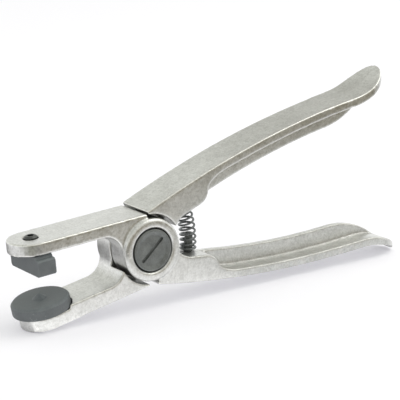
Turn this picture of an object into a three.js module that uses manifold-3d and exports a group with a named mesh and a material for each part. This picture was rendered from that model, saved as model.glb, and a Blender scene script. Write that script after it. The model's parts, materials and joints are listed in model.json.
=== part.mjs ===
// Pad-jaw running pliers: two cast levers crossing in a half-lap joint, a turning presser bar
// under one jaw, a round pad with a centre point on the other, and a return spring between
// the handle roots. Millimetres. The tool stands on the tips of its lower jaw and its lower
// handle: X runs from the jaws to the handles, Y along the pivot from the front to the rear,
// and Z is up. The levers are drawn flat, in X and Y with the pivot along Z, then stood up.

import * as THREE from 'three';
import { mergeVertices } from 'three/addons/utils/BufferGeometryUtils.js';
import Module from 'manifold-3d';

const wasm = await Module();
wasm.setup();

// ---- general -----------------------------------------------------------------------------
const WIDTH = 20.6;               // across the jaws and the handle roots
const GAP = 0.3;                  // between neighbouring pieces
const JAW_SPLAY = THREE.MathUtils.degToRad(6.76);   // between the jaws' outer faces, open
const STAND_ANGLE = THREE.MathUtils.degToRad(7.1);  // the tool's mid-line above the floor's level
const ROUND = 56;                 // facets of a large turned piece
const SMALL_ROUND = 28;           // facets of a small one
const PROFILE_STEPS = 8;          // facets of a curve in a lever's side view
const PLAN_STEPS = 10;            // and in its plan

// ---- ring bosses and pivot ---------------------------------------------------------------
const RING_RADIUS = 13.8;
const RING_FACE = 12.3;           // from the mid-plane to a ring's outer face
const RING_EDGE = 1.7;            // radius of the rounding round that face
const RING_EDGE_STEPS = 4;
const LAP_FACE = 0.55;            // from the mid-plane to each lever's lap face
const SHOULDER_RADIUS = 15.2;     // recess in each lever round the other lever's ring
const HEAD_RADIUS = 9.15;
const HEAD_HEIGHT = 3.05;
const HEAD_BEVEL = 0.3;
const HEAD_SINK = 0.05;           // below the ring's face
const DISH_RADIUS = 8.2;          // hollow in the head, at its rim and at its floor
const DISH_FLOOR_RADIUS = 6.6;
const DISH_DEPTH = 0.7;
const COUNTERBORE_RADIUS = 9.45;
const COUNTERBORE_FLOOR = 8.2;    // from the mid-plane
const MOUTH_CHAMFER = 0.9;
const BARREL_RADIUS = 5;
const SCREW_RADIUS = 2.7;
const PIVOT_WASHER_RADIUS = 8.9;
const PIVOT_WASHER_THICKNESS = 0.4;
const LAP_WASHER_RADIUS = 12.8;
const SLOT_LENGTH = 14;           // its ends stay inside the dish
const SLOT_WIDTH = 1.5;
const SLOT_DEPTH = 1.2;
const SLOT_ANGLE = THREE.MathUtils.degToRad(34.5);

// ---- jaws --------------------------------------------------------------------------------
const JAW_OUTER = 15.6;           // from the pivot's axis to a jaw's outer face, at its root
const TIP_CENTRE = -50.5;         // the tip's round, the presser and the pad share it
const THROAT_RADIUS = 8.5;        // blend from a jaw's inner face into its ring
const FIN_END = 4.5;              // where the blend stops beside the other lever's ring

// ---- handles -----------------------------------------------------------------------------
const ROOT_START = 2.05;          // front end of the handle root, and the open stop
const CROWN = new THREE.Vector2(108, 29.2);         // highest point of the long back
const BACK_RADIUS = 448;
const CURL_RADIUS = 34;
const CURL_INNER_RADIUS = 31.5;   // of the flange's inner face, which thins towards the tip
const FLANGE = 3.8;               // thickness of the T-section's flange
const WEB_HALF = 1.6;             // half the thickness of its web
const WEB_CROWN_HEIGHT = 17.6;    // from the pivot's axis to the web's highest point
const WEB_CROWN_BACK = 12;        // which is this far before the curl
const WEB_RADIUS = 345;
const WEB_RUNOUT_RADIUS = 35;
const WEB_START = 36;
const ROOT_END = 28;              // where the root's inner face starts to round into the pockets
const POCKET_START = 33.8;
const POCKET_BLEND_END = 47;
const WAIST = 10.2;               // half-width of the grip
const PADDLE = 11;                // half-width of the flared end
const WAIST_BACK = 46;            // ends of the waist and the flare, from the handle's end
const PADDLE_BACK = 13;
const WAIST_EASE = 12;            // reach of the curve between them, at each end
const PADDLE_EASE = 10;

// ---- return spring and its pegs ----------------------------------------------------------
const SEAT = new THREE.Vector2(24.5, 9.5);          // on the handle root's inner face
const SEAT_SLOPE = 0.18;
const SEAT_FRONT = 5;             // reach of the seat's flat, before and behind that point
const SEAT_REAR = 7;
const HEEL_PULL = new THREE.Vector2(15.5, 7.5);     // curve from the seat down to the ring
const HEEL_END = new THREE.Vector2(13.2, 3.6);
const SPRING_RADIUS = 3.3;        // to the middle of the wire
const WIRE_RADIUS = 0.47;
const SPRING_TURNS = 9.5;
const CLOSED_TURNS = 1;           // wound tight at each end
const CLOSED_PITCH = 1.15;        // rise of a tight turn, in wire diameters
const STEPS_PER_TURN = 14;
const WIRE_SIDES = 6;
const PEG_RADIUS = 2.1;
const PEG_TIP_RADIUS = 1.7;
const LOWER_PEG_HEIGHT = 8.5;      // long enough to steady the coil
const UPPER_PEG_HEIGHT = 3;
const PEG_BEVEL = 0.4;
const PEG_SHANK = 1.4;
const PEG_DEPTH = 4.5;

// ---- presser bar -------------------------------------------------------------------------
const BAR_LENGTH = 23.8;
const BAR_THICKNESS = 8.3;
const BAR_TOP = 8.9;              // from the pivot's axis, in the front lever's own frame
const BAR_LAND_TOP = 10.1;        // raised land that bears on the jaw
const BAR_LAND_HALF = 9;
const BAR_LAND_SLOPE = 0.7;
const BAR_FACE = 1.85;
const BAR_CHAMFER = 0.8;
const BAR_SOCKET_END = 4;
const CAP_RADIUS = 3;
const CAP_TOP = 16.7;             // the head stands proud of the jaw
const CAP_BASE = 14.4;
const CAP_BEVEL = 0.9;
const CAP_SOCKET = 1.6;
const CAP_SOCKET_DEPTH = 1.4;
const CAP_SHANK = 1.7;
const CAP_SHANK_END = 4.6;
const CAP_SEAT_RADIUS = 3.3;
const PRESSER_INSERT_RADIUS = 2.8;

// ---- round pad ---------------------------------------------------------------------------
const PAD_RADIUS = 12.5;
const PAD_FACE = 5;               // from the pivot's axis, in the rear lever's own frame
const PAD_BACK = 10.2;
const PAD_CHAMFER = 1;
const PAD_BACK_CHAMFER = 0.4;
const PAD_SEAT = 10.5;            // spot face sunk in the jaw
const PAD_SEAT_RADIUS = 12.8;
const POINT_RADIUS = 3.1;
const POINT_HEIGHT = 2.2;
const POINT_TIP_RADIUS = 0.3;
const PAD_SOCKET_END = 6.7;
const PAD_INSERT_RADIUS = 3.2;
const PAD_SCREW_RADIUS = 2;
const PAD_SCREW_END = 7.2;
const PAD_SCREW_HEAD_RADIUS = 3.6;
const PAD_SCREW_HEAD = 2;
const PAD_SCREW_BEVEL = 0.4;
const PAD_SCREW_SOCKET = 1.8;
const PAD_SCREW_SOCKET_DEPTH = 1.2;
const HEAD_POCKET_RADIUS = 4.4;
const HEAD_POCKET_DEPTH = 3.4;
const PAD_WASHER_RADIUS = 3.9;
const PAD_WASHER_THICKNESS = 0.4;

// What differs between the two castings. The rear lever lies under the front one at the lap.
const FRONT = {
  jawInner: 10.45,
  jawTipOuter: 15.7,
  jawRearEnd: -0.1,
  handleTilt: THREE.MathUtils.degToRad(-0.7),
  curlStart: 112.8,
  handleEnd: 135.8,
};
const REAR = {
  jawInner: 8.9,
  jawTipOuter: 16.1,
  jawRearEnd: -3.6,
  handleTilt: 0,
  curlStart: 117.3,
  handleEnd: 139.2,
};

// ---- solids ------------------------------------------------------------------------------
function solid(geometry) {
  const bare = geometry.index ? geometry.toNonIndexed() : geometry.clone();
  bare.deleteAttribute('normal');
  bare.deleteAttribute('uv');
  const merged = mergeVertices(bare, 1e-4);
  return new wasm.Manifold(new wasm.Mesh({
    numProp: 3,
    vertProperties: new Float32Array(merged.attributes.position.array),
    triVerts: new Uint32Array(merged.index.array),
  }));
}

function geometryOf(body) {
  const mesh = body.getMesh();
  const geometry = new THREE.BufferGeometry();
  geometry.setAttribute('position', new THREE.BufferAttribute(mesh.vertProperties, 3));
  geometry.setIndex(new THREE.BufferAttribute(mesh.triVerts, 1));
  const flat = geometry.toNonIndexed();
  flat.computeVertexNormals();
  return flat;
}

// A shape drawn in X and Y, standing from z0 to z1.
function prism(shape, z0, z1, facets = PROFILE_STEPS) {
  const geometry = new THREE.ExtrudeGeometry(shape, {
    depth: z1 - z0, bevelEnabled: false, curveSegments: facets,
  });
  return geometry.translate(0, 0, z0);
}

function block(x0, x1, y0, y1, z0, z1) {
  const geometry = new THREE.BoxGeometry(x1 - x0, y1 - y0, z1 - z0);
  return geometry.translate((x0 + x1) / 2, (y0 + y1) / 2, (z0 + z1) / 2);
}

// A turned body about the Y axis, from [radius, y] points in order round its section.
function turned(points, facets = SMALL_ROUND) {
  const section = points.map(([radius, y]) => new THREE.Vector2(radius, y));
  return new THREE.LatheGeometry(section, facets);
}

function closed(points) {
  return [...points, points[0]];
}

// The same, about the Z axis: the section's y becomes z.
function turnedOnPivot(points, facets = ROUND) {
  return turned(points, facets).rotateX(Math.PI / 2);
}

function washerOnPivot(inner, outer, z0, z1) {
  return turnedOnPivot(closed([[inner, z0], [outer, z0], [outer, z1], [inner, z1]]));
}

// A cylinder along Y at the jaw tip's centre.
function tipCylinder(radius, y0, y1) {
  return turned([[0, y0], [radius, y0], [radius, y1], [0, y1]]).translate(TIP_CENTRE, 0, 0);
}

// ---- the lever's outlines, in its own frame ----------------------------------------------
// The pivot is the origin, the jaw lies at negative y and the handle at positive y.
function jawOutline(lever) {
  const throatY = THROAT_RADIUS - lever.jawInner;
  const reach = RING_RADIUS + THROAT_RADIUS;
  const throatX = -Math.sqrt(reach * reach - throatY * throatY);
  const towardsRing = Math.atan2(-throatY, -throatX);
  const tip = TIP_CENTRE - WIDTH;
  const shape = new THREE.Shape();
  shape.moveTo(tip, -lever.jawTipOuter);
  shape.lineTo(TIP_CENTRE, -lever.jawTipOuter);
  shape.lineTo(lever.jawRearEnd, -JAW_OUTER);
  shape.lineTo(lever.jawRearEnd, -RING_RADIUS / 4);
  shape.lineTo(-RING_RADIUS / 2, 0);
  shape.absarc(throatX, throatY, THROAT_RADIUS, towardsRing, -Math.PI / 2, true);
  shape.lineTo(tip, -lever.jawInner);
  shape.closePath();
  return shape;
}

const backCentre = new THREE.Vector2(CROWN.x, CROWN.y - BACK_RADIUS);

function angleAt(centre, radius, x) {
  return Math.acos((x - centre.x) / radius);
}

// The arc at the handle's end, tangent to its long back.
function curlOf(lever) {
  const startAngle = angleAt(backCentre, BACK_RADIUS, lever.curlStart);
  const centre = new THREE.Vector2(
    backCentre.x + (BACK_RADIUS + CURL_RADIUS) * Math.cos(startAngle),
    backCentre.y + (BACK_RADIUS + CURL_RADIUS) * Math.sin(startAngle),
  );
  const inner = new THREE.Vector2(
    centre.x - (CURL_RADIUS + FLANGE - CURL_INNER_RADIUS) * Math.cos(startAngle),
    centre.y - (CURL_RADIUS + FLANGE - CURL_INNER_RADIUS) * Math.sin(startAngle),
  );
  return {
    startAngle,
    outer: { centre, radius: CURL_RADIUS, end: -angleAt(centre, CURL_RADIUS, lever.handleEnd) },
    inner: {
      centre: inner,
      radius: CURL_INNER_RADIUS,
      end: -angleAt(inner, CURL_INNER_RADIUS, lever.handleEnd),
    },
  };
}

// A flange's outer or inner face: the long back, then the outward curl at the handle's end.
function addFace(path, curl, face, startX, backRadius) {
  path.absarc(backCentre.x, backCentre.y, backRadius,
    angleAt(backCentre, backRadius, startX), curl.startAngle, true);
  path.absarc(face.centre.x, face.centre.y, face.radius,
    curl.startAngle - Math.PI, face.end, false);
}

function seatHeight(x) {
  return SEAT.y + (x - SEAT.x) * Math.tan(SEAT_SLOPE);
}

function handleOutline(lever) {
  const curl = curlOf(lever);
  const crownX = lever.curlStart - WEB_CROWN_BACK;
  const webBack = new THREE.Vector2(crownX, WEB_CROWN_HEIGHT - WEB_RADIUS);
  const runout = new THREE.Vector2(crownX, WEB_CROWN_HEIGHT + WEB_RUNOUT_RADIUS);
  const { inner } = curl;
  const apart = runout.distanceTo(inner.centre);
  const along = (WEB_RUNOUT_RADIUS ** 2 - inner.radius ** 2 + apart ** 2) / (2 * apart);
  const line = Math.atan2(inner.centre.y - runout.y, inner.centre.x - runout.x);
  const meetAngle = line - Math.acos(along / WEB_RUNOUT_RADIUS);
  const meet = new THREE.Vector2(
    runout.x + WEB_RUNOUT_RADIUS * Math.cos(meetAngle),
    runout.y + WEB_RUNOUT_RADIUS * Math.sin(meetAngle),
  );
  const meetOnFlange = Math.atan2(meet.y - inner.centre.y, meet.x - inner.centre.x);

  const shape = new THREE.Shape();
  shape.moveTo(ROOT_START, RING_RADIUS / 4);
  addFace(shape, curl, curl.outer, ROOT_START, BACK_RADIUS);
  shape.absarc(inner.centre.x, inner.centre.y, inner.radius, inner.end, meetOnFlange, true);
  shape.absarc(runout.x, runout.y, WEB_RUNOUT_RADIUS, meetAngle, -Math.PI / 2, true);
  shape.absarc(webBack.x, webBack.y, WEB_RADIUS,
    Math.PI / 2, angleAt(webBack, WEB_RADIUS, WEB_START), false);
  shape.lineTo(SEAT.x + SEAT_REAR, seatHeight(SEAT.x + SEAT_REAR));
  shape.lineTo(SEAT.x - SEAT_FRONT, seatHeight(SEAT.x - SEAT_FRONT));
  shape.quadraticCurveTo(HEEL_PULL.x, HEEL_PULL.y, HEEL_END.x, HEEL_END.y);
  shape.lineTo(RING_RADIUS / 2, 0);
  shape.closePath();
  return shape;
}

// The hollow beside the web, between the root and the handle's end.
function pocketOutline(lever) {
  const radius = BACK_RADIUS - FLANGE;
  const curl = curlOf(lever);
  const blend = angleAt(backCentre, radius, POCKET_BLEND_END);
  const blendY = backCentre.y + radius * Math.sin(blend);
  const cornerY = (seatHeight(POCKET_START) + blendY) / 2;
  const shape = new THREE.Shape();
  shape.moveTo(ROOT_END, 0);
  shape.lineTo(ROOT_END, seatHeight(ROOT_END));
  shape.quadraticCurveTo(POCKET_START - 1, seatHeight(POCKET_START), POCKET_START, cornerY);
  shape.quadraticCurveTo(POCKET_START + 3, blendY - 1, POCKET_BLEND_END, blendY);
  addFace(shape, curl, curl.inner, POCKET_BLEND_END, radius);
  shape.lineTo(lever.handleEnd + WIDTH, 0);
  shape.closePath();
  return shape;
}

// The lever seen along Y: round jaw tip, straight sides, and a flared, rounded handle end.
function planOutline(lever) {
  const half = WIDTH / 2;
  const waist = lever.handleEnd - WAIST_BACK;
  const paddle = lever.handleEnd - PADDLE_BACK;
  const shape = new THREE.Shape();
  shape.absarc(TIP_CENTRE, 0, half, Math.PI / 2, Math.PI * 1.5, false);
  shape.lineTo(SEAT.x, -half);
  shape.lineTo(waist, -WAIST);
  const easeIn = waist + WAIST_EASE;
  const easeOut = paddle - PADDLE_EASE;
  shape.bezierCurveTo(easeIn, -WAIST, easeOut, -PADDLE, paddle, -PADDLE);
  shape.absellipse(paddle, 0, PADDLE_BACK, PADDLE, -Math.PI / 2, Math.PI / 2, false);
  shape.bezierCurveTo(easeOut, PADDLE, easeIn, WAIST, waist, WAIST);
  shape.lineTo(SEAT.x, half);
  shape.closePath();
  return shape;
}

// ---- the levers --------------------------------------------------------------------------
// The rounding from the ring's face to its side, as points of a turned section.
function ringEdge() {
  return Array.from({ length: RING_EDGE_STEPS + 1 }, (_, i) => {
    const angle = Math.PI / 2 * i / RING_EDGE_STEPS;
    return [
      RING_RADIUS - RING_EDGE * (1 - Math.sin(angle)),
      RING_EDGE * (1 - Math.cos(angle)) - RING_FACE,
    ];
  });
}

// Each is made with its ring below the mid-plane; the front lever is then turned over.
function leverBody(lever) {
  const tall = WIDTH;
  const deep = 2 * WIDTH;
  const handle = solid(prism(handleOutline(lever), -tall, tall))
    .subtract(solid(prism(pocketOutline(lever), WEB_HALF, tall)))
    .subtract(solid(prism(pocketOutline(lever), -tall, -WEB_HALF)))
    .rotate([0, 0, THREE.MathUtils.radToDeg(lever.handleTilt)]);
  const plan = solid(prism(planOutline(lever), -deep, deep, PLAN_STEPS).rotateX(Math.PI / 2));
  const shoulder = solid(washerOnPivot(0, SHOULDER_RADIUS, -LAP_FACE, tall));
  const beyondFin = solid(block(-2 * RING_RADIUS, 0, -FIN_END, tall, -LAP_FACE, tall));
  const ring = solid(turnedOnPivot([
    [0, -RING_FACE],
    ...ringEdge(),
    [RING_RADIUS, -LAP_FACE],
    [0, -LAP_FACE],
  ]));
  const bore = solid(turnedOnPivot([
    [0, -tall],
    [COUNTERBORE_RADIUS + MOUTH_CHAMFER, -tall],
    [COUNTERBORE_RADIUS + MOUTH_CHAMFER, -RING_FACE],
    [COUNTERBORE_RADIUS, MOUTH_CHAMFER - RING_FACE],
    [COUNTERBORE_RADIUS, -COUNTERBORE_FLOOR],
    [BARREL_RADIUS + GAP, -COUNTERBORE_FLOOR],
    [BARREL_RADIUS + GAP, tall],
    [0, tall],
  ]));
  return solid(prism(jawOutline(lever), -tall, tall))
    .subtract(beyondFin)
    .add(handle)
    .intersect(plan)
    .subtract(shoulder)
    .add(ring)
    .subtract(bore)
    .subtract(solid(pegHole(lever)));
}

// A turned piece or hole standing on the spring's seat, from a section drawn along its axis.
function onSeat(geometry, lever) {
  return geometry.rotateZ(Math.PI + SEAT_SLOPE).translate(SEAT.x, SEAT.y, 0)
    .rotateZ(lever.handleTilt);
}

function pegHole(lever) {
  const radius = PEG_SHANK + GAP;
  const depth = -PEG_DEPTH - GAP;
  return onSeat(turned([[0, depth], [radius, depth], [radius, 1], [0, 1]]), lever);
}

function frontLever() {
  const seat = tipCylinder(CAP_SEAT_RADIUS, -JAW_OUTER - 1, GAP - CAP_BASE);
  const hole = tipCylinder(CAP_SHANK + GAP, -JAW_OUTER, 0);
  return geometryOf(leverBody(FRONT).subtract(solid(seat)).subtract(solid(hole)));
}

const headPocketRoof = HEAD_POCKET_DEPTH - JAW_OUTER;

function rearLever() {
  const seat = tipCylinder(PAD_SEAT_RADIUS, -PAD_SEAT, 0);
  const hole = tipCylinder(PAD_SCREW_RADIUS + GAP, -JAW_OUTER, 0);
  const headPocket = tipCylinder(HEAD_POCKET_RADIUS, -JAW_OUTER - 1, headPocketRoof);
  return geometryOf(leverBody(REAR)
    .subtract(solid(seat)).subtract(solid(hole)).subtract(solid(headPocket)));
}

// ---- pivot -------------------------------------------------------------------------------
const headTop = RING_FACE - HEAD_SINK;
const headBase = headTop - HEAD_HEIGHT;
const dishFloor = headTop - DISH_DEPTH;
const barrelEnd = COUNTERBORE_FLOOR - GAP;

// A closed slot across the dish.
function screwSlot() {
  const reach = (SLOT_LENGTH - SLOT_WIDTH) / 2;
  const shape = new THREE.Shape();
  shape.absarc(-reach, 0, SLOT_WIDTH / 2, Math.PI / 2, Math.PI * 1.5, false);
  shape.absarc(reach, 0, SLOT_WIDTH / 2, -Math.PI / 2, Math.PI / 2, false);
  shape.closePath();
  return prism(shape, dishFloor - SLOT_DEPTH, RING_FACE + 1).rotateZ(SLOT_ANGLE);
}

function pivotScrew() {
  const body = solid(turnedOnPivot([
    [0, GAP - headBase],
    [SCREW_RADIUS, GAP - headBase],
    [SCREW_RADIUS, headBase],
    [HEAD_RADIUS, headBase],
    [HEAD_RADIUS, headTop - HEAD_BEVEL],
    [HEAD_RADIUS - HEAD_BEVEL, headTop],
    [DISH_RADIUS, headTop],
    [DISH_FLOOR_RADIUS, dishFloor],
    [0, dishFloor],
  ]));
  return geometryOf(body.subtract(solid(screwSlot())));
}

// The nut: a long sleeve that both levers turn on, with a head like the screw's.
function pivotSleeve() {
  const bore = SCREW_RADIUS + GAP;
  const body = solid(turnedOnPivot([
    [0, -dishFloor],
    [DISH_FLOOR_RADIUS, -dishFloor],
    [DISH_RADIUS, -headTop],
    [HEAD_RADIUS - HEAD_BEVEL, -headTop],
    [HEAD_RADIUS, HEAD_BEVEL - headTop],
    [HEAD_RADIUS, -headBase],
    [BARREL_RADIUS, -headBase],
    [BARREL_RADIUS, barrelEnd],
    [bore, barrelEnd],
    [bore, -headBase],
    [0, -headBase],
  ]));
  return geometryOf(body.subtract(solid(screwSlot().rotateX(Math.PI))));
}

// ---- return spring and pegs --------------------------------------------------------------
function springPeg(lever, height) {
  return onSeat(turned([
    [0, -PEG_DEPTH],
    [PEG_SHANK, -PEG_DEPTH],
    [PEG_SHANK, GAP],
    [PEG_RADIUS, GAP],
    [PEG_TIP_RADIUS, height - PEG_BEVEL],
    [PEG_TIP_RADIUS - PEG_BEVEL, height],
    [0, height],
  ]), lever);
}

// Where the spring stands on a lever: its seat point and the direction out of the seat.
function seatOf(lever, turn, side) {
  const point = new THREE.Vector2(SEAT.x, SEAT.y);
  const out = new THREE.Vector2(Math.sin(SEAT_SLOPE), -Math.cos(SEAT_SLOPE));
  const rotation = lever.handleTilt + turn;
  const origin = new THREE.Vector2();
  point.rotateAround(origin, rotation);
  out.rotateAround(origin, rotation);
  const place = (v) => new THREE.Vector3(v.x, v.y * side, 0);
  return { point: place(point), out: place(out) };
}

class SpringPath extends THREE.Curve {
  constructor(from, to) {
    super();
    const start = from.point.clone().addScaledVector(from.out, WIRE_RADIUS + GAP);
    const end = to.point.clone().addScaledVector(to.out, WIRE_RADIUS + GAP);
    const pull = start.distanceTo(end) / 3;
    this.axis = new THREE.CubicBezierCurve3(
      start,
      start.clone().addScaledVector(from.out, pull),
      end.clone().addScaledVector(to.out, pull),
      end,
    );
  }

  // Closed turns stand still on the seats and the rest climb evenly between them.
  getPoint(t, target = new THREE.Vector3()) {
    const turn = t * SPRING_TURNS;
    const closedRise = 2 * WIRE_RADIUS * CLOSED_PITCH / this.axis.getLength();
    const open = SPRING_TURNS - 2 * CLOSED_TURNS;
    const climb = THREE.MathUtils.clamp((turn - CLOSED_TURNS) / open, 0, 1);
    const tight = Math.min(turn, CLOSED_TURNS) + Math.max(0, turn - SPRING_TURNS + CLOSED_TURNS);
    const along = climb * (1 - 2 * closedRise * CLOSED_TURNS) + tight * closedRise;
    const centre = this.axis.getPoint(along);
    const tangent = this.axis.getTangent(along);
    const outward = new THREE.Vector3(tangent.y, -tangent.x, 0);
    const angle = 2 * Math.PI * turn;
    return target.copy(centre)
      .addScaledVector(outward, SPRING_RADIUS * Math.cos(angle))
      .add(new THREE.Vector3(0, 0, SPRING_RADIUS * Math.sin(angle)));
  }
}

function returnSpring() {
  const lower = seatOf(FRONT, JAW_SPLAY / 2, -1);
  const upper = seatOf(REAR, JAW_SPLAY / 2, 1);
  const section = new THREE.Shape();
  for (let i = 0; i < WIRE_SIDES; i += 1) {
    const angle = 2 * Math.PI * i / WIRE_SIDES;
    const x = WIRE_RADIUS * Math.cos(angle);
    const y = WIRE_RADIUS * Math.sin(angle);
    if (i === 0) section.moveTo(x, y);
    else section.lineTo(x, y);
  }
  return new THREE.ExtrudeGeometry(section, {
    steps: Math.round(SPRING_TURNS * STEPS_PER_TURN),
    bevelEnabled: false,
    extrudePath: new SpringPath(lower, upper),
  });
}

// ---- presser -----------------------------------------------------------------------------
// A ring at the jaw tip's centre, from y0 to y1 in the lever's own frame.
function tipRing(inner, outer, y0, y1) {
  return turned(closed([[inner, y0], [outer, y0], [outer, y1], [inner, y1]]))
    .translate(TIP_CENTRE, 0, 0);
}

function presserBar() {
  const half = BAR_LENGTH / 2;
  const side = BAR_THICKNESS / 2;
  const c = BAR_CHAMFER;
  const section = new THREE.Shape();
  section.moveTo(-half, -BAR_TOP + c);
  section.lineTo(-half + c, -BAR_TOP);
  section.lineTo(-BAR_LAND_HALF - BAR_LAND_SLOPE, -BAR_TOP);
  section.lineTo(-BAR_LAND_HALF, -BAR_LAND_TOP);
  section.lineTo(BAR_LAND_HALF, -BAR_LAND_TOP);
  section.lineTo(BAR_LAND_HALF + BAR_LAND_SLOPE, -BAR_TOP);
  section.lineTo(half - c, -BAR_TOP);
  section.lineTo(half, -BAR_TOP + c);
  section.lineTo(half, -BAR_FACE - c);
  section.lineTo(half - c, -BAR_FACE);
  section.lineTo(-half + c, -BAR_FACE);
  section.lineTo(-half, -BAR_FACE - c);
  section.closePath();
  const bar = prism(section, -side, side).rotateY(Math.PI / 2).translate(TIP_CENTRE, 0, 0);
  const socket = tipCylinder(PRESSER_INSERT_RADIUS + GAP, -BAR_LAND_TOP - 1, -BAR_SOCKET_END);
  return geometryOf(solid(bar).subtract(solid(socket)));
}

function presserInsert() {
  return tipRing(CAP_SHANK + GAP, PRESSER_INSERT_RADIUS, GAP - BAR_LAND_TOP, -BAR_SOCKET_END - GAP);
}

// A cap screw with a hexagon socket, standing on the jaw tip's centre. Its head is at low y.
function capScrew(head, shank, socket, bevel) {
  const body = turned([
    [0, head.top],
    [head.radius - bevel, head.top],
    [head.radius, head.top + bevel],
    [head.radius, head.base],
    [shank.radius, head.base],
    [shank.radius, shank.end],
    [0, shank.end],
  ]);
  const bottom = head.top + socket.depth;
  const hexagon = turned([
    [0, head.top - 1], [socket.radius, head.top - 1], [socket.radius, bottom], [0, bottom],
  ], 6);
  return geometryOf(solid(body).subtract(solid(hexagon))).translate(TIP_CENTRE, 0, 0);
}

function presserScrew() {
  return capScrew(
    { radius: CAP_RADIUS, top: -CAP_TOP, base: -CAP_BASE },
    { radius: CAP_SHANK, end: -CAP_SHANK_END },
    { radius: CAP_SOCKET, depth: CAP_SOCKET_DEPTH },
    CAP_BEVEL,
  );
}

// ---- pad ---------------------------------------------------------------------------------
function discPad() {
  const socket = PAD_INSERT_RADIUS + GAP;
  return turned([
    [0, -PAD_SOCKET_END],
    [socket, -PAD_SOCKET_END],
    [socket, -PAD_BACK],
    [PAD_RADIUS - PAD_BACK_CHAMFER, -PAD_BACK],
    [PAD_RADIUS, PAD_BACK_CHAMFER - PAD_BACK],
    [PAD_RADIUS, -PAD_FACE - PAD_CHAMFER],
    [PAD_RADIUS - PAD_CHAMFER, -PAD_FACE],
    [POINT_RADIUS, -PAD_FACE],
    [POINT_TIP_RADIUS, POINT_HEIGHT - PAD_FACE],
    [0, POINT_HEIGHT - PAD_FACE],
  ], ROUND).translate(TIP_CENTRE, 0, 0);
}

function padInsert() {
  return tipRing(
    PAD_SCREW_RADIUS + GAP, PAD_INSERT_RADIUS, GAP - PAD_BACK, -PAD_SOCKET_END - GAP,
  );
}

const padWasherTop = headPocketRoof - GAP;
const padWasherBase = padWasherTop - PAD_WASHER_THICKNESS;

function padWasher() {
  return tipRing(PAD_SCREW_RADIUS + GAP, PAD_WASHER_RADIUS, padWasherBase, padWasherTop);
}

function padScrew() {
  const base = padWasherBase - GAP;
  return capScrew(
    { radius: PAD_SCREW_HEAD_RADIUS, top: base - PAD_SCREW_HEAD, base },
    { radius: PAD_SCREW_RADIUS, end: -PAD_SCREW_END },
    { radius: PAD_SCREW_SOCKET, depth: PAD_SCREW_SOCKET_DEPTH },
    PAD_SCREW_BEVEL,
  );
}

// ---- materials and assembly --------------------------------------------------------------
const finishes = {
  casting: { color: 0xb9bab3, roughness: 0.42, metalness: 0.9 },
  blackened: { color: 0x3f4446, roughness: 0.5, metalness: 0.6 },
  polymer: { color: 0x4d5456, roughness: 0.6, metalness: 0 },
  springSteel: { color: 0x2e3132, roughness: 0.35, metalness: 0.85 },
  plated: { color: 0xa9adad, roughness: 0.3, metalness: 0.95 },
  brass: { color: 0xb89a56, roughness: 0.35, metalness: 0.95 },
};

function piece(name, geometry, finish) {
  const mesh = new THREE.Mesh(geometry, new THREE.MeshStandardMaterial(finishes[finish]));
  mesh.name = name;
  return mesh;
}

// Front lever and what rides on it: made like the rear one, then turned over about X.
const front = new THREE.Group();
front.rotation.set(Math.PI, 0, -JAW_SPLAY / 2, 'ZYX');
front.add(
  piece('front_lever', frontLever(), 'casting'),
  piece('lower_spring_peg', springPeg(FRONT, LOWER_PEG_HEIGHT), 'blackened'),
  piece('presser_bar', presserBar(), 'polymer'),
  piece('presser_insert', presserInsert(), 'brass'),
  piece('presser_screw', presserScrew(), 'blackened'),
);

const rear = new THREE.Group();
rear.rotation.z = JAW_SPLAY / 2;
rear.add(
  piece('rear_lever', rearLever(), 'casting'),
  piece('upper_spring_peg', springPeg(REAR, UPPER_PEG_HEIGHT), 'blackened'),
  piece('disc_pad', discPad(), 'polymer'),
  piece('pad_insert', padInsert(), 'brass'),
  piece('pad_washer', padWasher(), 'plated'),
  piece('pad_screw', padScrew(), 'plated'),
);

function pivotWasher(outer, z0, z1) {
  return washerOnPivot(BARREL_RADIUS + GAP, outer, z0, z1);
}

const washerBase = COUNTERBORE_FLOOR + GAP;
const washerTop = washerBase + PIVOT_WASHER_THICKNESS;
const lapWasherTop = LAP_FACE - GAP;
const tool = new THREE.Group();
tool.add(
  front,
  rear,
  piece('pivot_screw', pivotScrew(), 'blackened'),
  piece('pivot_sleeve', pivotSleeve(), 'blackened'),
  piece('spring_washer', pivotWasher(PIVOT_WASHER_RADIUS, washerBase, washerTop), 'plated'),
  piece('sleeve_washer', pivotWasher(PIVOT_WASHER_RADIUS, -washerTop, -washerBase), 'plated'),
  piece('lap_washer', pivotWasher(LAP_WASHER_RADIUS, -lapWasherTop, lapWasherTop), 'plated'),
  piece('return_spring', returnSpring(), 'springSteel'),
);

// The origin is the middle of the tool's box, on the surface that it lies on.
tool.rotation.set(Math.PI / 2, -STAND_ANGLE, 0, 'YXZ');
const box = new THREE.Box3().setFromObject(tool, true);
const middle = box.getCenter(new THREE.Vector3());
tool.position.set(-middle.x, -middle.y, -box.min.z);

const pliers = new THREE.Group();
pliers.add(tool);
export default pliers;
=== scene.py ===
"""Pad-jaw running pliers: cast levers, black pivot screw, presser bar and round pad.

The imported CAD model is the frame. Each casting and fitting is made again here from its CAD
solid with rounded edges, and the spring and the two socket screws are built in full.
"""

import json
import math

import bmesh
import bpy
import numpy as np
from mathutils import Matrix, Vector


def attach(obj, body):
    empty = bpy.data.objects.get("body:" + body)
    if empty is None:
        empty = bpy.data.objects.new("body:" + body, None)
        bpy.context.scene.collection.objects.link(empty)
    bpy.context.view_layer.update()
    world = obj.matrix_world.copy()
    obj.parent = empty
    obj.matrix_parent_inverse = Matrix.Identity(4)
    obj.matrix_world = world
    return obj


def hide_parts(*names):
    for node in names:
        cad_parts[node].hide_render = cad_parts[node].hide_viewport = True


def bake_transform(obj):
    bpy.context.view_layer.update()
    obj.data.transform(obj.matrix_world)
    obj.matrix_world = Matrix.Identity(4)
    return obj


MM = 0.001

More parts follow.
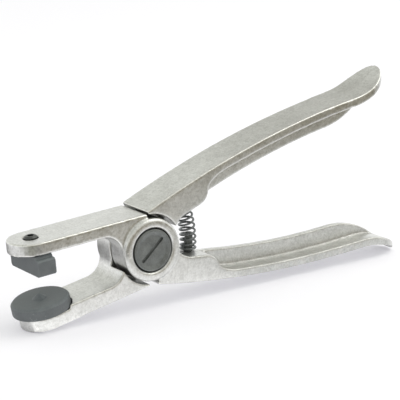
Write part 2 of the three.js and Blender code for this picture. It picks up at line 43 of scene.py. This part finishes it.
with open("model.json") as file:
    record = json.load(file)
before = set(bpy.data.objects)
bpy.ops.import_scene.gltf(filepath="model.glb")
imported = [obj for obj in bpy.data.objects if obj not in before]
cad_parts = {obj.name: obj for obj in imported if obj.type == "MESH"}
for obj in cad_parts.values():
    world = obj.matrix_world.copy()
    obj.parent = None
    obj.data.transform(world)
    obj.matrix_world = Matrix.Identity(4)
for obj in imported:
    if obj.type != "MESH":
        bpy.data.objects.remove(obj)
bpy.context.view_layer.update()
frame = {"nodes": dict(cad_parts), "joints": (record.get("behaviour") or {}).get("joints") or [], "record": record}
scene = bpy.context.scene

BODY_OF = {
    node: body
    for body, nodes in frame["record"]["behaviour"]["bodies"].items()
    for node in nodes
}
SLOT_OF = {part["node"]: part["material_slot"] for part in frame["record"]["subparts"]}
JOINTS = {joint["name"]: joint for joint in frame["joints"]}
PIVOT = Vector(JOINTS["jaw_pivot"]["pos_m"])

# ---- camera, floor and light ---------------------------------------------------------------
CAMERA_AZIMUTH = math.radians(-33.6)
CAMERA_ELEVATION = math.radians(14.9)
CAMERA_ROLL = math.radians(-1.54)
CAMERA_DISTANCE = 767.4 * MM
CAMERA_LENS = 162    # millimetres
CAMERA_SENSOR = 36   # millimetres
AIM_FROM_PIVOT = Vector((25.0, -11.0, 17.5)) * MM

FLOOR_SIZE = 8.0
FLOOR_COLOUR = (0.705, 0.70, 0.735, 1)
FLOOR_ROUGHNESS = 0.75
FLOOR_GLOW = 0.42    # keeps the floor white under the soft shadow
SKY_LOW = (1.32, 1.33, 1.32, 1)
SKY_HIGH = (0.80, 0.81, 0.75, 1)
SKY_RISE = (0.22, 0.55)   # sines of the elevations where the low sky ends and the high one starts
KEY_PLACE = (0.62, -0.28, 0.95)
KEY_SIZE = 0.8
KEY_POWER = 4.0
KEY_COLOUR = (1.0, 0.985, 0.94)
# Cards that only reflections see. Those on the floor: x range and y range in metres, and colour.
FLOOR_CARD_HEIGHT = 1 * MM
FLOOR_CARDS = {
    "paper_left": ((-0.15, -0.07), (-0.042, -0.006), (1.42, 1.42, 1.42, 1)),
    "paper": ((-0.07, 0.012), (-0.065, -0.013), (1.26, 1.26, 1.26, 1)),
    "paper_edge": ((-0.10, 0.012), (-0.09, -0.065), (1.05, 1.05, 1.03, 1)),
    "pale": ((0.012, 4), (-0.155, -0.013), (0.87, 0.88, 0.87, 1)),
    "dim_left": ((-4, -0.10), (-4, -0.042), (0.25, 0.255, 0.21, 1)),
    "dark_gap": ((-0.10, -0.035), (-4, -0.09), (0.02, 0.02, 0.018, 1)),
    "dark": ((-0.035, 0.012), (-4, -0.09), (0.20, 0.155, 0.06, 1)),
    "dark_right": ((0.012, 4), (-4, -0.155), (0.19, 0.158, 0.085, 1)),
    "behind": ((-0.14, -0.03), (0.04, 0.4), (0.3, 0.3, 0.3, 1)),
}
# Those that stand upright: x range, y and height range in metres, and colour.
TALL_CARDS = {
    "backdrop": ((-1.6, 1.6), -1.0, (0, 0.4), (0.42, 0.38, 0.29, 1)),
    "grey_card": ((0.10, 0.55), 0.25, (0.15, 0.5), (0.62, 0.62, 0.57, 1)),
}

# The A and B colour inputs and the colour output of a Mix node
MIX_A = 6
MIX_B = 7
MIX_COLOUR = 2


def add_camera():
    data = bpy.data.cameras.new("camera")
    data.lens = CAMERA_LENS
    data.sensor_width = CAMERA_SENSOR
    camera = bpy.data.objects.new("camera", data)
    scene.collection.objects.link(camera)
    back = Vector((
        math.sin(CAMERA_AZIMUTH) * math.cos(CAMERA_ELEVATION),
        -math.cos(CAMERA_AZIMUTH) * math.cos(CAMERA_ELEVATION),
        math.sin(CAMERA_ELEVATION),
    ))
    level = back.to_track_quat("Z", "Y").to_matrix()
    turn = level @ Matrix.Rotation(CAMERA_ROLL, 3, "Z")
    place = PIVOT + AIM_FROM_PIVOT + back * CAMERA_DISTANCE
    camera.matrix_world = Matrix.Translation(place) @ turn.to_4x4()
    scene.camera = camera


def add_key_light():
    """A soft square light that points at the pivot."""
    data = bpy.data.lights.new("key", "AREA")
    data.shape = "RECTANGLE"
    data.size = KEY_SIZE
    data.size_y = KEY_SIZE
    data.energy = KEY_POWER
    data.color = KEY_COLOUR
    light = bpy.data.objects.new("key", data)
    light.location = KEY_PLACE
    light.rotation_euler = (Vector(KEY_PLACE) - PIVOT).to_track_quat("Z", "Y").to_euler()
    scene.collection.objects.link(light)


def add_sheet(name, corners):
    """One flat four-cornered face."""
    mesh = bpy.data.meshes.new(name)
    mesh.from_pydata([Vector(corner) for corner in corners], [], [(0, 1, 2, 3)])
    sheet = bpy.data.objects.new(name, mesh)
    scene.collection.objects.link(sheet)
    return sheet


def add_card(name, corners, colour):
    """A glowing card that only reflections see: it is what the bright metal mirrors."""
    card = add_sheet(name, corners)
    card.visible_camera = False
    card.visible_diffuse = False
    card.visible_shadow = False
    card.visible_transmission = False
    paint = bpy.data.materials.new(name)
    paint.use_nodes = True
    nodes = paint.node_tree.nodes
    glow = nodes.new("ShaderNodeEmission")
    glow.inputs["Color"].default_value = colour
    paint.node_tree.links.new(glow.outputs[0], nodes["Material Output"].inputs["Surface"])
    card.data.materials.append(paint)


def flat_card(name, across, along, colour):
    (x0, x1), (y0, y1), z = across, along, FLOOR_CARD_HEIGHT
    add_card(name, [(x0, y0, z), (x1, y0, z), (x1, y1, z), (x0, y1, z)], colour)


def tall_card(name, across, y, rise, colour):
    (x0, x1), (z0, z1) = across, rise
    add_card(name, [(x0, y, z0), (x1, y, z0), (x1, y, z1), (x0, y, z1)], colour)


def add_sky():
    """A pale sky, brighter towards the horizon than overhead."""
    world = bpy.data.worlds.new("studio")
    scene.world = world
    world.use_nodes = True
    tree = world.node_tree
    place = tree.nodes.new("ShaderNodeTexCoord")
    parts = tree.nodes.new("ShaderNodeSeparateXYZ")
    rise = tree.nodes.new("ShaderNodeMapRange")
    rise.interpolation_type = "SMOOTHSTEP"
    rise.inputs["From Min"].default_value, rise.inputs["From Max"].default_value = SKY_RISE
    blend = tree.nodes.new("ShaderNodeMix")
    blend.data_type = "RGBA"
    blend.inputs[MIX_A].default_value = SKY_LOW
    blend.inputs[MIX_B].default_value = SKY_HIGH
    tree.links.new(place.outputs["Generated"], parts.inputs[0])
    tree.links.new(parts.outputs["Z"], rise.inputs["Value"])
    tree.links.new(rise.outputs["Result"], blend.inputs["Factor"])
    tree.links.new(blend.outputs[MIX_COLOUR], tree.nodes["Background"].inputs["Color"])


def add_floor():
    half = FLOOR_SIZE / 2
    corners = [(-half, -half, 0), (half, -half, 0), (half, half, 0), (-half, half, 0)]
    floor = add_sheet("floor", corners)
    paint = Shader("floor_paint", base=FLOOR_COLOUR, roughness=FLOOR_ROUGHNESS)
    paint.surface.inputs["Specular IOR Level"].default_value = 0
    paint.surface.inputs["Emission Color"].default_value = FLOOR_COLOUR
    paint.surface.inputs["Emission Strength"].default_value = FLOOR_GLOW
    floor.data.materials.append(paint.material)


def add_stage():
    add_floor()
    add_sky()
    scene.view_settings.view_transform = "Standard"
    add_key_light()
    for name, (across, along, colour) in FLOOR_CARDS.items():
        flat_card(name, across, along, colour)
    for name, (across, y, rise, colour) in TALL_CARDS.items():
        tall_card(name, across, y, rise, colour)


# ---- shaders -------------------------------------------------------------------------------
SHELTER_SAMPLES = 8
UPWARD = (0.2, 0.8)   # how far up a normal points: at most this on a wall, at least this on a top


class Shader:
    """A material on the Principled shader, with short calls that add its nodes."""

    def __init__(self, name, base=(0.8, 0.8, 0.8, 1), metallic=0.0, roughness=0.5):
        self.material = bpy.data.materials.new(name)
        self.material.use_nodes = True
        self.tree = self.material.node_tree
        self.surface = self.tree.nodes["Principled BSDF"]
        self.surface.inputs["Base Color"].default_value = base
        self.surface.inputs["Metallic"].default_value = metallic
        self.surface.inputs["Roughness"].default_value = roughness
        self.place = None

    def give(self, socket, value):
        """Links a node's output to the socket, or sets a plain value on it."""
        if isinstance(value, bpy.types.NodeSocket):
            self.tree.links.new(value, socket)
        else:
            socket.default_value = value

    def node(self, kind, inputs=None, **settings):
        made = self.tree.nodes.new(kind)
        for key, value in settings.items():
            setattr(made, key, value)
        for key, value in (inputs or {}).items():
            self.give(made.inputs[key], value)
        return made

    def coordinates(self, stretch=(1, 1, 1)):
        if self.place is None:
            self.place = self.node("ShaderNodeTexCoord").outputs["Object"]
        if stretch == (1, 1, 1):
            return self.place
        inputs = {"Vector": self.place, "Scale": stretch}
        return self.node("ShaderNodeMapping", inputs).outputs["Vector"]

    def noise(self, feature, detail=3.0, roughness=0.55, stretch=(1, 1, 1)):
        """Noise whose features are about that size, in metres."""
        inputs = {
            "Vector": self.coordinates(stretch),
            "Scale": 1 / feature,
            "Detail": detail,
            "Roughness": roughness,
        }
        return self.node("ShaderNodeTexNoise", inputs).outputs["Fac"]

    def edges(self, low, high):
        """From 0 where the surface bends by the low amount to 1 at the high one; flats are 0.5."""
        bend = self.node("ShaderNodeNewGeometry").outputs["Pointiness"]
        return self.fit(bend, low, high, 0, 1)

    def shelter(self, reach):
        """How open the surface is to its surroundings within that reach: 1 in the open."""
        inputs = {"Distance": reach}
        made = self.node("ShaderNodeAmbientOcclusion", inputs, samples=SHELTER_SAMPLES)
        return made.outputs["AO"]

    def facing_up(self):
        """From 0 on walls and undersides to 1 on surfaces that face upwards."""
        normal = self.node("ShaderNodeNewGeometry").outputs["Normal"]
        parts = self.node("ShaderNodeSeparateXYZ", {0: normal})
        return self.fit(parts.outputs["Z"], *UPWARD, 0, 1)

    def region(self, x, z, width):
        """0 to the right of x and below z, 1 elsewhere, with soft borders that wide."""
        parts = self.node("ShaderNodeSeparateXYZ", {0: self.coordinates()})
        beyond = self.fit(parts.outputs["X"], x, x + width, 1, 0)
        above = self.fit(parts.outputs["Z"], z - width, z, 0, 1)
        return self.math("MAXIMUM", beyond, above)

    def fit(self, value, from_low, from_high, to_low, to_high):
        inputs = {
            "Value": value,
            "From Min": from_low,
            "From Max": from_high,
            "To Min": to_low,
            "To Max": to_high,
        }
        return self.node("ShaderNodeMapRange", inputs).outputs["Result"]

    def math(self, operation, a, b):
        return self.node("ShaderNodeMath", {0: a, 1: b}, operation=operation).outputs[0]

    def weigh(self, shares):
        """The sum of some values, each times its share of the whole."""
        parts = [self.math("MULTIPLY", value, share) for value, share in shares]
        total = parts[0]
        for part in parts[1:]:
            total = self.math("ADD", total, part)
        return total

    def mix(self, factor, a, b, blend="MIX"):
        made = self.node("ShaderNodeMix", data_type="RGBA", blend_type=blend)
        self.give(made.inputs["Factor"], factor)
        self.give(made.inputs[MIX_A], a)
        self.give(made.inputs[MIX_B], b)
        return made.outputs[MIX_COLOUR]

    def bump(self, height, strength, depth, normal=None):
        inputs = {"Height": height, "Strength": strength, "Distance": depth}
        if normal is not None:
            inputs["Normal"] = normal
        return self.node("ShaderNodeBump", inputs).outputs["Normal"]

    def finish(self, colour, roughness, normal):
        self.give(self.surface.inputs["Base Color"], colour)
        self.give(self.surface.inputs["Roughness"], roughness)
        self.give(self.surface.inputs["Normal"], normal)
        return self.material


# The tumbled casting. Bends are pointiness: 0.5 on a flat, more on an edge, less in a hollow.
CAST_TONE = (0.42, 0.58)         # noise levels that give the dark and the light metal
CAST_PIT = (0.66, 0.73)          # noise levels where a pit starts and is deepest
CAST_PIT_DEPTH = 0.45
CAST_HOLLOW = (0.488, 0.455)
CAST_EDGE = (0.515, 0.56)
CAST_CORNER_REACH = 4 * MM
CAST_CORNER = (0.35, 0.85)       # how open a corner given the full painted shade is, and a face given none
CAST_CORNER_SHADE = 0.6
CAST_EDGE_SHINE = 0.55
CAST_EDGE_SHADE = 0.5
CAST_ROUGHNESS = (0.29, 0.42)
CAST_EDGE_POLISH = 0.1
CAST_HOLLOW_ROUGHNESS = 0.4
# The cast edges get a painted highlight outside this region and painted shade inside it.
LOWER_HANDLE = (PIVOT.x + 4 * MM, PIVOT.z + 22 * MM)   # it lies to the right of this and below it
LOWER_HANDLE_BORDER = 12 * MM


def cast_metal(name, light, dark, bright, painted_shade_tone):
    """Tumbled casting: mottled satin faces, faint cross marks, small pits, painted shade in corners
    and hollows, and edges painted pale (rubbed wear with a painted highlight) everywhere but on the
    lower handle, whose edges get painted shade and more roughness instead."""
    paint = Shader(name, metallic=1.0)
    cloud = paint.noise(9 * MM, detail=5, roughness=0.6)
    patch = paint.noise(2.4 * MM, detail=4, roughness=0.65)
    grain = paint.noise(0.9 * MM, detail=4, roughness=0.7)
    marks = paint.noise(0.6 * MM, detail=3, stretch=(1.0, 0.08, 0.5))
    speck = paint.noise(1.1 * MM, detail=2)

    tone = paint.weigh([(cloud, 0.2), (patch, 0.25), (grain, 0.4), (marks, 0.15)])
    colour = paint.mix(paint.fit(tone, *CAST_TONE, 0, 1), dark, light)
    pits = paint.fit(speck, *CAST_PIT, 0, CAST_PIT_DEPTH)
    colour = paint.mix(pits, colour, dark, "MULTIPLY")

    # Painted shade: hollows (low pointiness) and corners sheltered within the corner reach are darkened towards
    # the shade tone.
    hollow = paint.edges(*CAST_HOLLOW)
    corner = paint.fit(paint.shelter(CAST_CORNER_REACH), *CAST_CORNER, CAST_CORNER_SHADE, 0)
    painted_shade = paint.math("MAXIMUM", corner, hollow)
    colour = paint.mix(painted_shade, colour, painted_shade_tone, "MULTIPLY")

    # Painted highlight with rubbed wear: edges away from the lower handle are painted pale and polished. Painted
    # shade: edges on the lower handle are painted darker and made rougher.
    edge = paint.edges(*CAST_EDGE)
    elsewhere = paint.region(*LOWER_HANDLE, LOWER_HANDLE_BORDER)
    bright_edge = paint.math("MULTIPLY", edge, elsewhere)
    dull_shaded_edge = paint.math("SUBTRACT", edge, bright_edge)
    colour = paint.mix(paint.math("MULTIPLY", bright_edge, CAST_EDGE_SHINE), colour, bright)
    colour = paint.mix(paint.math("MULTIPLY", dull_shaded_edge, CAST_EDGE_SHADE), colour, dark)

    rough = paint.fit(patch, 0.3, 0.7, *CAST_ROUGHNESS)
    rough = paint.math("SUBTRACT", rough, paint.math("MULTIPLY", bright_edge, CAST_EDGE_POLISH))
    rougher = paint.math("MAXIMUM", dull_shaded_edge, hollow)
    rough = paint.math("ADD", rough, paint.math("MULTIPLY", rougher, CAST_HOLLOW_ROUGHNESS))

    normal = paint.bump(cloud, 0.3, 0.35 * MM)
    normal = paint.bump(patch, 0.5, 0.15 * MM, normal)
    normal = paint.bump(grain, 0.6, 0.06 * MM, normal)
    normal = paint.bump(marks, 0.4, 0.03 * MM, normal)
    return paint.finish(colour, rough, normal)


BLACK_TONE = (0.38, 0.64)
BLACK_EDGE = (0.515, 0.57)
BLACK_EDGE_WEAR = 0.5
BLACK_RUBBED = 1.4   # how much paler than the light tone a rubbed edge is


def paler(colour, times):
    """The colour made that many times brighter, up to white."""
    return tuple(min(1, times * part) for part in colour[:3]) + (1,)


def black_finish(name, light, dark, wall, metallic, roughness, grain_size):
    """Black oxide or moulded slate: mottled, with paler rubbed edges and painted shade on walls and undersides."""
    paint = Shader(name, metallic=metallic)
    cloud = paint.noise(4 * MM, detail=5, roughness=0.65)
    grain = paint.noise(grain_size, detail=3)
    tone = paint.weigh([(cloud, 0.6), (grain, 0.4)])
    colour = paint.mix(paint.fit(tone, *BLACK_TONE, 0, 1), dark, light)
    # Painted shade: walls and undersides are multiplied by the wall colour, while faces that point up keep the
    # plain tone.
    shaded_walls = paint.mix(1.0, colour, wall, "MULTIPLY")
    colour = paint.mix(paint.facing_up(), shaded_walls, colour)
    bright_edge = paint.math("MULTIPLY", paint.edges(*BLACK_EDGE), BLACK_EDGE_WEAR)
    colour = paint.mix(bright_edge, colour, paler(light, BLACK_RUBBED))
    rough = paint.fit(cloud, 0.3, 0.7, *roughness)
    return paint.finish(colour, rough, paint.bump(grain, 0.3, 0.03 * MM))


def drawn_wire(name, dark, light):
    """Dark oiled spring wire, with faint drawing marks and a duller haze in places."""
    paint = Shader(name, metallic=1.0)
    haze = paint.noise(1.6 * MM, detail=4)
    marks = paint.noise(0.2 * MM, detail=2, stretch=(1, 1, 3))
    rough = paint.fit(haze, 0.3, 0.7, 0.22, 0.42)
    return paint.finish(paint.mix(haze, dark, light), rough, paint.bump(marks, 0.2, 0.01 * MM))


def clean_metal(name, dark, light):
    """Zinc plate or turned brass: a soft haze over a fine, even surface."""
    paint = Shader(name, metallic=1.0)
    haze = paint.noise(2.5 * MM, detail=4)
    fine = paint.noise(0.3 * MM)
    rough = paint.fit(haze, 0.3, 0.7, 0.25, 0.42)
    return paint.finish(paint.mix(haze, dark, light), rough, paint.bump(fine, 0.2, 0.01 * MM))


WIRE_COLOUR = (0.12, 0.126, 0.13, 1)
WIRE_HAZE = 1.9   # how much paler than the wire its haze is

MATERIALS = {
    "casting": cast_metal(
        "tumbled_casting",
        light=(0.73, 0.732, 0.72, 1),
        dark=(0.53, 0.53, 0.515, 1),
        bright=(0.93, 0.915, 0.86, 1),
        painted_shade_tone=(0.42, 0.42, 0.41, 1),
    ),
    "blackened_steel": black_finish(
        "black_oxide",
        light=(0.205, 0.216, 0.211, 1),
        dark=(0.108, 0.115, 0.112, 1),
        wall=(1, 1, 1, 1),
        metallic=0.6,
        roughness=(0.38, 0.55),
        grain_size=0.4 * MM,
    ),
    "slate_polymer": black_finish(
        "slate_moulding",
        light=(0.147, 0.165, 0.172, 1),
        dark=(0.105, 0.12, 0.126, 1),
        wall=(0.76, 0.74, 0.74, 1),
        metallic=0.0,
        roughness=(0.5, 0.68),
        grain_size=0.35 * MM,
    ),
    "oiled_steel": black_finish(
        "oiled_black",
        light=(0.13, 0.135, 0.132, 1),
        dark=(0.05, 0.053, 0.052, 1),
        wall=(0.6, 0.6, 0.6, 1),
        metallic=0.7,
        roughness=(0.28, 0.45),
        grain_size=0.3 * MM,
    ),
    "spring_steel": drawn_wire("spring_wire", WIRE_COLOUR, paler(WIRE_COLOUR, WIRE_HAZE)),
    "plated_steel": clean_metal("zinc_plate", (0.45, 0.46, 0.46, 1), (0.66, 0.67, 0.66, 1)),
    "brass": clean_metal("turned_brass", (0.55, 0.42, 0.20, 1), (0.74, 0.60, 0.32, 1)),
}


# ---- pieces --------------------------------------------------------------------------------
QUICK_LEVER_VOXEL = 0.6 * MM
SMOOTHING = 0.5
# Voxel size and rounds of smoothing: together they set how round a piece's edges come out.
ROUNDING = {
    "front_lever": (0.36 * MM, 11),
    "rear_lever": (0.36 * MM, 11),
    "pivot_screw": (0.16 * MM, 5),
    "pivot_sleeve": (0.16 * MM, 5),
    "presser_bar": (0.16 * MM, 5),
    "disc_pad": (0.16 * MM, 4),
    "lower_spring_peg": (0.15 * MM, 4),
    "upper_spring_peg": (0.15 * MM, 4),
}
KEPT_NODES = (
    "spring_washer", "sleeve_washer", "lap_washer", "pad_washer", "presser_insert", "pad_insert",
)


def finish_piece(piece, node, material):
    """Material and smooth shading for a piece that takes the place of a CAD node, whose solid is hidden."""
    piece.data.materials.clear()
    piece.data.materials.append(MATERIALS[material])
    piece.data.polygons.foreach_set("use_smooth", [True] * len(piece.data.polygons))
    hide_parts(node)


def add_rounded(node, voxel, rounds):
    """The CAD solid of a node, made again with every edge rounded, riding on its body."""
    piece = bpy.data.objects.new(node + "_rounded", frame["nodes"][node].data.copy())
    scene.collection.objects.link(piece)
    remesh = piece.modifiers.new("remesh", "REMESH")
    remesh.mode = "VOXEL"
    remesh.voxel_size = voxel
    smooth = piece.modifiers.new("smooth", "SMOOTH")
    smooth.factor = SMOOTHING
    smooth.iterations = rounds
    graph = bpy.context.evaluated_depsgraph_get()
    mesh = bpy.data.meshes.new_from_object(piece.evaluated_get(graph))
    piece.modifiers.clear()
    piece.data = mesh
    finish_piece(piece, node, SLOT_OF[node])
    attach(piece, BODY_OF[node])


def give_material(node):
    """A new material on a CAD piece that stays as it is."""
    mesh = frame["nodes"][node].data
    mesh.materials.clear()
    mesh.materials.append(MATERIALS[SLOT_OF[node]])


def vertices_of(node):
    mesh = frame["nodes"][node].data
    points = np.empty(len(mesh.vertices) * 3)
    mesh.vertices.foreach_get("co", points)
    return points.reshape(-1, 3)


def axis_of(points):
    """The middle of a long turned piece's vertices, and its axis, pointing upwards."""
    middle = points.mean(axis=0)
    axis = np.linalg.svd(points - middle)[2][0]
    return middle, axis * np.sign(axis[2])


def circle(across, beside, angle):
    """The direction at that angle in the plane of two directions."""
    return across * math.cos(angle) + beside * math.sin(angle)


def join_rings(shape, rings):
    """Walls between each ring of corners and the next, and a flat cap at each end."""
    for a, b in zip(rings, rings[1:]):
        for k in range(len(a)):
            n = (k + 1) % len(a)
            shape.faces.new((a[k], a[n], b[n], b[k]))
    shape.faces.new(rings[0])
    shape.faces.new(rings[-1])


def from_rings(name, make_rings):
    """A new object whose mesh joins the rings of corners that the given function makes."""
    shape = bmesh.new()
    join_rings(shape, make_rings(shape))
    bmesh.ops.recalc_face_normals(shape, faces=shape.faces)
    mesh = bpy.data.meshes.new(name)
    shape.to_mesh(mesh)
    shape.free()
    piece = bpy.data.objects.new(name, mesh)
    scene.collection.objects.link(piece)
    return piece


# ---- return spring -------------------------------------------------------------------------
COIL_RADIUS = 3.3 * MM
WIRE_RADIUS = 0.47 * MM
SEAT_GAP = 0.3 * MM
PEG_HEIGHTS = {"lower_spring_peg": 8.5 * MM, "upper_spring_peg": 3 * MM}
TURNS = 9.5
CLOSED_TURNS = 1       # at each end
CLOSED_PITCH = 1.15    # in thicknesses of the wire
STEPS_PER_TURN = 40
WIRE_SIDES = 14
ACROSS_JAWS = Vector((0, 1, 0))


def wire_rings(shape, points):
    """Rings of corners round a wire that runs along the points."""
    rings = []
    across = ACROSS_JAWS
    angles = [2 * math.pi * k / WIRE_SIDES for k in range(WIRE_SIDES)]
    for i, point in enumerate(points):
        ahead = points[min(i + 1, len(points) - 1)] - points[max(i - 1, 0)]
        ahead.normalize()
        across = (across - ahead * across.dot(ahead)).normalized()
        beside = ahead.cross(across)
        rings.append([
            shape.verts.new(point + WIRE_RADIUS * circle(across, beside, angle))
            for angle in angles
        ])
    return rings


def seat_of(peg, upwards):
    """Where a peg stands out of its lever, and its direction, from its CAD solid."""
    points = vertices_of(peg)
    middle, axis = axis_of(points)
    axis *= upwards
    tip = middle + axis * ((points - middle) @ axis).max()
    return Vector(tip - axis * PEG_HEIGHTS[peg]), Vector(axis)


def bezier(points, t):
    a, b, c, d = points
    s = 1 - t
    place = a * s**3 + b * 3 * s * s * t + c * 3 * s * t * t + d * t**3
    along = (b - a) * s * s + (c - b) * 2 * s * t + (d - c) * t * t
    return place, along.normalized()


def coil_points(axis, length):
    """Points along the wire, whose turns climb the curved axis and lie close at both ends."""
    closed_rise = 2 * WIRE_RADIUS * CLOSED_PITCH / length
    open_turns = TURNS - 2 * CLOSED_TURNS
    count = round(TURNS * STEPS_PER_TURN)
    points = []
    for i in range(count + 1):
        turn = TURNS * i / count
        climb = min(max((turn - CLOSED_TURNS) / open_turns, 0), 1)
        tight = min(turn, CLOSED_TURNS) + max(0, turn - TURNS + CLOSED_TURNS)
        along = climb * (1 - 2 * closed_rise * CLOSED_TURNS) + tight * closed_rise
        centre, ahead = bezier(axis, min(max(along, 0), 1))
        outward = Vector((ahead.z, 0, -ahead.x))
        points.append(centre + COIL_RADIUS * circle(outward, ACROSS_JAWS, 2 * math.pi * turn))
    return points


def add_spring():
    lower, lower_axis = seat_of("lower_spring_peg", 1)
    upper, upper_axis = seat_of("upper_spring_peg", -1)
    start = lower + lower_axis * (WIRE_RADIUS + SEAT_GAP)
    end = upper + upper_axis * (WIRE_RADIUS + SEAT_GAP)
    length = (end - start).length
    pull = length / 3
    points = coil_points((start, start + lower_axis * pull, end + upper_axis * pull, end), length)
    spring = from_rings("return_spring_coil", lambda shape: wire_rings(shape, points))
    finish_piece(spring, "return_spring", SLOT_OF["return_spring"])
    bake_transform(spring)


# ---- socket screws -------------------------------------------------------------------------
SCREW_SIDES = 96
KNURLS = 24
KNURL_DEPTH = 0.22 * MM
SOCKET_FLOOR = 0.5 * MM
SOCKET_BEVEL = 0.12 * MM
SCREW_BEVEL = 0.3 * MM
DOME_STEPS = 6
SHARP_ANGLE = math.radians(35)   # flat ends and bevels stay crisp, round walls shade smoothly


def plain(radius):
    return lambda angle: radius


def knurled(radius):
    return lambda angle: radius - KNURL_DEPTH * (0.5 - 0.5 * math.cos(KNURLS * angle))


def hexagonal(corner):
    flat = corner * math.cos(math.pi / 6)
    sector = math.pi / 3
    return lambda angle: flat / math.cos(angle % sector - sector / 2)


def turned_rings(shape, profile, base, axis):
    """Rings of corners, from a height up the axis and a radius for every angle for each one."""
    across = axis.orthogonal().normalized()
    beside = axis.cross(across)
    rings = []
    for height, radius in profile:
        ring = []
        for k in range(SCREW_SIDES):
            angle = 2 * math.pi * k / SCREW_SIDES
            out = circle(across, beside, angle)
            ring.append(shape.verts.new(base + axis * height + out * radius(angle)))
        rings.append(ring)
    return rings


def shank_profile(length, head, shank):
    """The shank, the flat under the head and the head's knurled wall."""
    under = length - head["height"]
    return [
        (0, plain(shank - SCREW_BEVEL)),
        (SCREW_BEVEL, plain(shank)),
        (under, plain(shank)),
        (under, plain(head["radius"] - SCREW_BEVEL)),
        (under + SCREW_BEVEL / 2, knurled(head["radius"])),
        (length - head["dome"], knurled(head["radius"])),
    ]


def dome_profile(length, head, mouth):
    """The dome, from the head's wall in to the mouth of the socket."""
    sweep = math.acos((mouth + SCREW_BEVEL) / head["radius"])
    profile = []
    for step in range(1, DOME_STEPS + 1):
        turn = sweep * step / DOME_STEPS
        rise = head["dome"] * math.sin(turn) / math.sin(sweep)
        profile.append((length - head["dome"] + rise, plain(head["radius"] * math.cos(turn))))
    return profile


def socket_profile(length, socket, mouth):
    """The hexagon socket, from its bevelled mouth down to its floor."""
    return [
        (length, hexagonal(mouth)),
        (length - SOCKET_BEVEL, hexagonal(socket["corner"])),
        (length - socket["depth"], hexagonal(socket["corner"])),
        (length - socket["depth"], plain(SOCKET_FLOOR)),
    ]


def add_cap_screw(node, material, head_up, head, shank, socket):
    """A screw with a knurled, domed head and a hexagon socket, the size of its CAD solid."""
    points = vertices_of(node)
    middle, axis = axis_of(points)
    if not head_up:
        axis = -axis
    along = (points - middle) @ axis
    base = Vector(middle + axis * along.min())
    length = along.max() - along.min()
    mouth = socket["corner"] + SOCKET_BEVEL
    profile = (
        shank_profile(length, head, shank)
        + dome_profile(length, head, mouth)
        + socket_profile(length, socket, mouth)
    )
    screw = from_rings(
        node + "_knurled", lambda shape: turned_rings(shape, profile, base, Vector(axis))
    )
    finish_piece(screw, node, material)
    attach(screw, BODY_OF[node])
    screw.data.set_sharp_from_angle(angle=SHARP_ANGLE)


# ---- build ---------------------------------------------------------------------------------
for node, (voxel, rounds) in ROUNDING.items():
    is_lever = node.endswith("_lever")
    add_rounded(node, QUICK_LEVER_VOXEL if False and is_lever else voxel, rounds)
add_cap_screw(
    "presser_screw", "oiled_steel", True,
    head={"radius": 3 * MM, "height": 2.3 * MM, "dome": 1.1 * MM},
    shank=1.7 * MM,
    socket={"corner": 1.6 * MM, "depth": 1.4 * MM},
)
add_cap_screw(
    "pad_screw", "plated_steel", False,
    head={"radius": 3.6 * MM, "height": 2 * MM, "dome": 0.5 * MM},
    shank=2 * MM,
    socket={"corner": 1.8 * MM, "depth": 1.2 * MM},
)
add_spring()
for node in KEPT_NODES:
    give_material(node)

add_stage()
add_camera()
